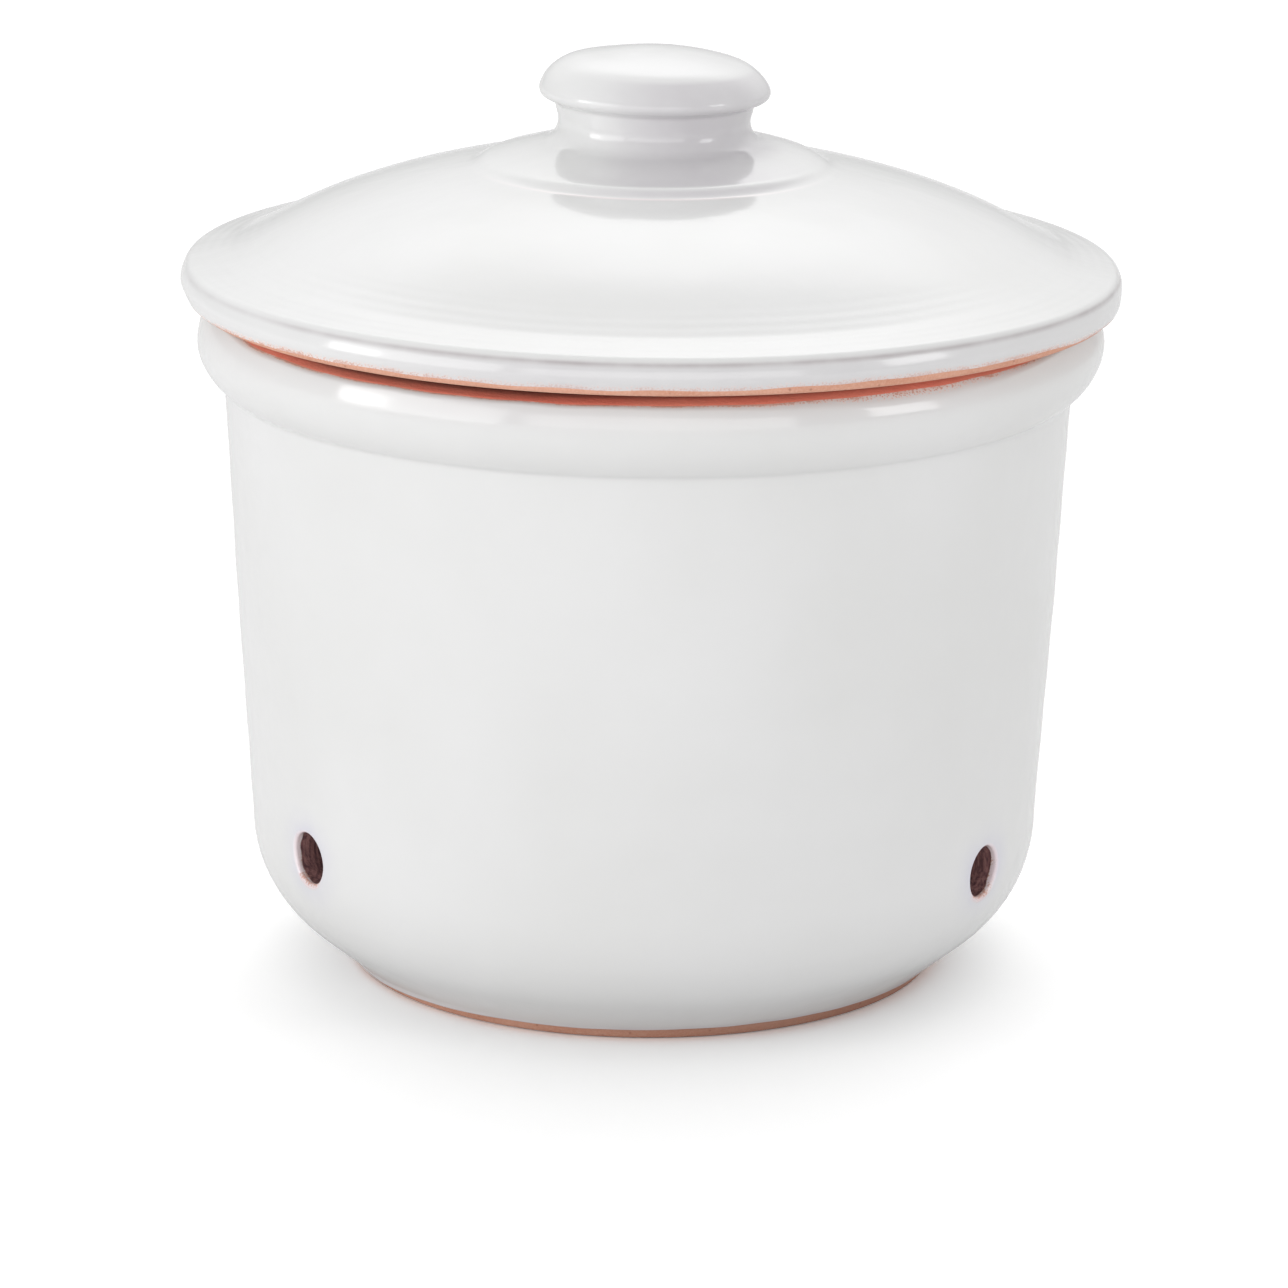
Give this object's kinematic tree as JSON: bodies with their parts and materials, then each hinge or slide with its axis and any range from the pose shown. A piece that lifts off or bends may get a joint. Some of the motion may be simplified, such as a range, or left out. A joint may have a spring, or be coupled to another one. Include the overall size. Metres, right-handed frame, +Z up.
{
  "type": "garlic keeper",
  "caption": "Round earthenware garlic keeper: a vented pot with a rolled collar and a lift-off domed lid with a knob, white glaze outside, bare clay inside.",
  "frame": {"origin": "on the pot's axis, at the middle of the foot ring's resting plane", "axes": "+Z up along the axis of the pot and lid; -Y is the front, between the two front vents; +X is to the right seen from the front"},
  "size_m": [0.16, 0.16, 0.159],
  "materials": {
    "terracotta": "matte fired clay",
    "white_glaze": "gloss"
  },
  "bodies": {
    "pot": {"pot_clay": "terracotta", "pot_glaze": "white_glaze"},
    "lid": {"lid_clay": "terracotta", "lid_glaze": "white_glaze"}
  },
  "joints": [
    {"name": "lid_lift", "type": "slide", "parent": "pot", "child": "lid", "axis": [0, 0, 1], "range_m": [0, 0.08]}
  ]
}
